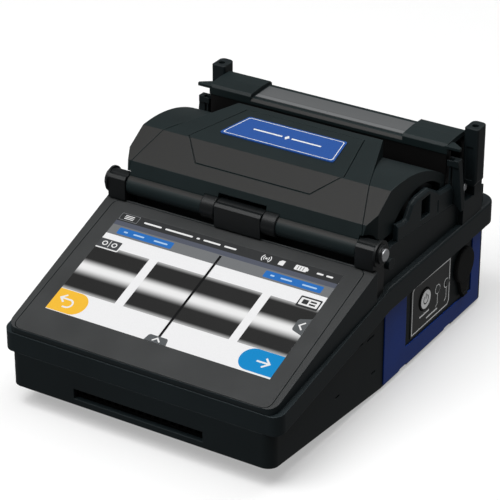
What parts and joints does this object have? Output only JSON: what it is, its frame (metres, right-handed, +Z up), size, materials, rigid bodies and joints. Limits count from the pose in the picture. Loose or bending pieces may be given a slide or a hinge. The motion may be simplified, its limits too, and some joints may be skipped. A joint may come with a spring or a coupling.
{
  "type": "fiber fusion splicer",
  "caption": "Benchtop fiber fusion splicer: sloped touch monitor, hinged hood over the splicing stage, sleeve heater behind it, strap lugs and a slide-out battery.",
  "frame": {"origin": "centre of the footprint, on the surface that the feet stand on", "axes": "+X to the operator's right, +Y from the monitor's front edge to the back, +Z up"},
  "size_m": [0.1398, 0.192, 0.0946],
  "materials": {
    "case_plastic": "fine texture, satin",
    "rim_plastic": "fine texture, satin",
    "hood_plastic": "fine texture, satin",
    "blue_paint": "gloss paint on a thin panel",
    "label_film": "printed film",
    "name_film": "printed film",
    "soft_rubber": "matt",
    "bare_steel": "ground",
    "dark_metal": "satin black",
    "anodised": "satin anodised",
    "cover_glass": "back-printed cover glass",
    "display": "lit display",
    "clear_lens": "moulded lens",
    "smoke_window": "translucent grey",
    "board_green": "solder mask",
    "groove_ceramic": "ground",
    "button_plastic": "gloss"
  },
  "bodies": {
    "root": {"lower_case": "case_plastic", "front_vent": "case_plastic", "upper_case": "rim_plastic", "side_panel_left": "blue_paint", "side_panel_right": "blue_paint", "rubber_feet": "soft_rubber", "case_screws": "bare_steel", "main_board": "board_green", "hv_module": "dark_metal", "battery_bay": "case_plastic", "control_label": "label_film", "switch_board": "board_green", "led_lenses": "clear_lens", "dc_jack": "dark_metal", "monitor_housing": "rim_plastic", "touch_glass": "cover_glass", "lcd_panel": "display", "hinge_bracket_left": "dark_metal", "hinge_bracket_right": "dark_metal", "hinge_knuckle": "dark_metal", "deck_housing": "case_plastic", "side_guard_left": "case_plastic", "side_guard_right": "case_plastic", "stage_chassis": "anodised", "stage_base": "anodised", "v_groove_blocks": "groove_ceramic", "electrode_holder_front": "dark_metal", "electrode_holder_rear": "dark_metal", "electrode_front": "bare_steel", "electrode_rear": "bare_steel", "objective_front": "dark_metal", "objective_rear": "dark_metal", "feed_motors": "bare_steel", "heater_housing": "case_plastic", "heater_plate": "anodised", "heater_post_left": "case_plastic", "heater_post_right": "case_plastic", "clamp_magnets": "bare_steel", "strap_lug_left": "case_plastic", "strap_lug_right": "case_plastic"},
    "hood": {"hood_shell": "hood_plastic", "hood_cover": "hood_plastic", "hood_inlay": "case_plastic", "name_plate": "name_film", "hood_lamp": "clear_lens", "fibre_pressers": "dark_metal", "hinge_shaft": "bare_steel", "hinge_collars": "dark_metal"},
    "heater_lid": {"heater_lid": "hood_plastic", "heater_window": "smoke_window", "heater_hinge_pin": "bare_steel"},
    "power_button": {"power_button": "button_plastic"},
    "jack_cover": {"jack_cover": "soft_rubber"},
    "battery": {"battery_pack": "case_plastic"},
    "battery_latch": {"battery_latch": "button_plastic"},
    "feed_carriage_left": {"feed_carriage_left": "anodised"},
    "feed_carriage_right": {"feed_carriage_right": "anodised"},
    "sheath_clamp_left": {"sheath_clamp_left": "dark_metal"},
    "sheath_clamp_right": {"sheath_clamp_right": "dark_metal"}
  },
  "joints": [
    {"name": "hood_hinge", "type": "hinge", "parent": "root", "child": "hood", "pos_m": [0, -0.0131, 0.0716], "axis": [1, 0, 0], "range_deg": [0, 100]},
    {"name": "heater_lid_hinge", "type": "hinge", "parent": "root", "child": "heater_lid", "pos_m": [0, 0.0778, 0.0855], "axis": [-1, 0, 0], "range_deg": [0, 95]},
    {"name": "power_button_press", "type": "slide", "parent": "root", "child": "power_button", "axis": [-1, 0, 0], "range_m": [0, 0.0008], "stiffness_N_per_m": 1200},
    {"name": "jack_cover_hinge", "type": "hinge", "parent": "root", "child": "jack_cover", "pos_m": [0.0661, 0.0695, 0.0131], "axis": [0, 1, 0], "range_deg": [0, 100]},
    {"name": "battery_slide", "type": "slide", "parent": "root", "child": "battery", "axis": [0, 1, 0], "range_m": [0, 0.06]},
    {"name": "battery_latch_slide", "type": "slide", "parent": "battery", "child": "battery_latch", "axis": [0, 0, 1], "range_m": [0, 0.0035], "stiffness_N_per_m": 200},
    {"name": "feed_slide_left", "type": "slide", "parent": "root", "child": "feed_carriage_left", "axis": [1, 0, 0], "range_m": [-0.0015, 0.003]},
    {"name": "sheath_clamp_hinge_left", "type": "hinge", "parent": "feed_carriage_left", "child": "sheath_clamp_left", "pos_m": [-0.0345, 0.0372, 0.0689], "axis": [-1, 0, 0], "range_deg": [0, 60]},
    {"name": "feed_slide_right", "type": "slide", "parent": "root", "child": "feed_carriage_right", "axis": [-1, 0, 0], "range_m": [-0.0015, 0.003]},
    {"name": "sheath_clamp_hinge_right", "type": "hinge", "parent": "feed_carriage_right", "child": "sheath_clamp_right", "pos_m": [0.0345, 0.0372, 0.0689], "axis": [-1, 0, 0], "range_deg": [0, 60]}
  ]
}
